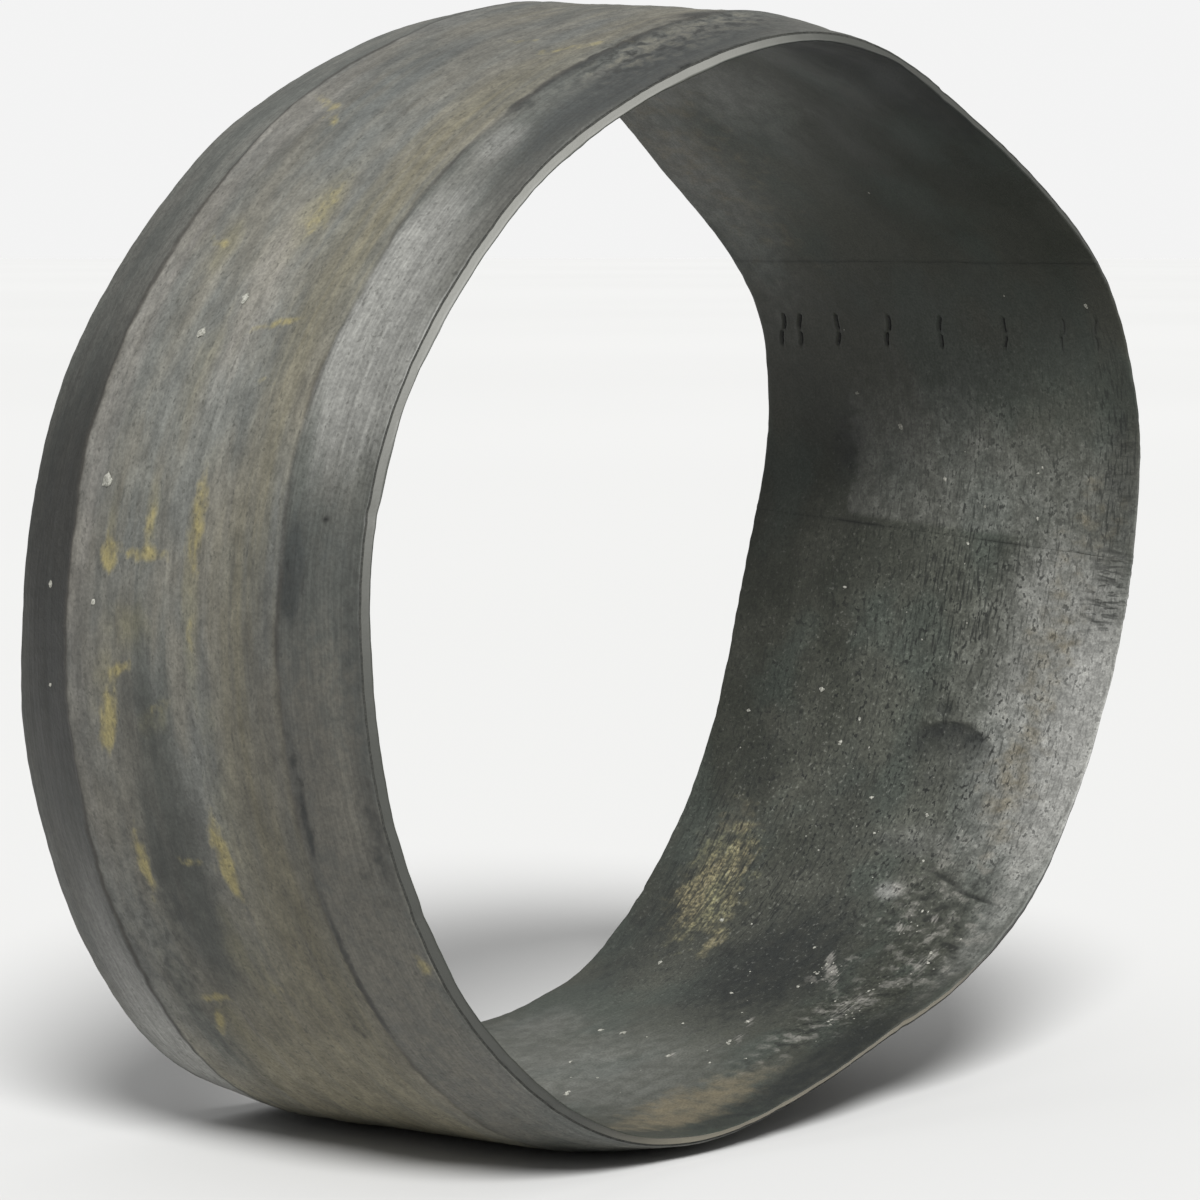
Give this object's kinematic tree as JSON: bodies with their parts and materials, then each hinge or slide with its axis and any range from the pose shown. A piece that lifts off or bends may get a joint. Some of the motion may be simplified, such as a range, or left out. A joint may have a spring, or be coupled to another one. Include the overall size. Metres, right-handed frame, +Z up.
{
  "type": "pipe repair clamp sealing sleeve",
  "caption": "Built-up rubber sealing sleeve that a pipe repair clamp squeezes round a pipe: raised middle band, ground bevel at each end, smooth bore with a spliced strip.",
  "frame": {"origin": "centre of the bore, half way between the end faces", "axes": "+Y along the bore axis towards the far end, -Y towards the near end; +Z up from the flat that the sleeve stands on; +X to the right seen from the near end, towards the splice strip"},
  "size_m": [0.231, 0.1, 0.2304],
  "materials": {
    "liner_rubber": "smooth dark bore, dusty and slightly glossy where rubbed",
    "strip_rubber": "smooth, dull",
    "thread": "black rubbered thread",
    "textile": "rubbered cloth edge",
    "core_rubber": "ground, with fine lines round the bevel",
    "cover_rubber": "weathered matt, mottled grey-brown with streaks"
  },
  "bodies": {
    "root": {"inner_liner": "liner_rubber", "splice_strip": "strip_rubber", "splice_stitches": "thread", "textile_ply": "textile", "wall_core": "core_rubber", "outer_cover": "cover_rubber"}
  },
  "joints": []
}
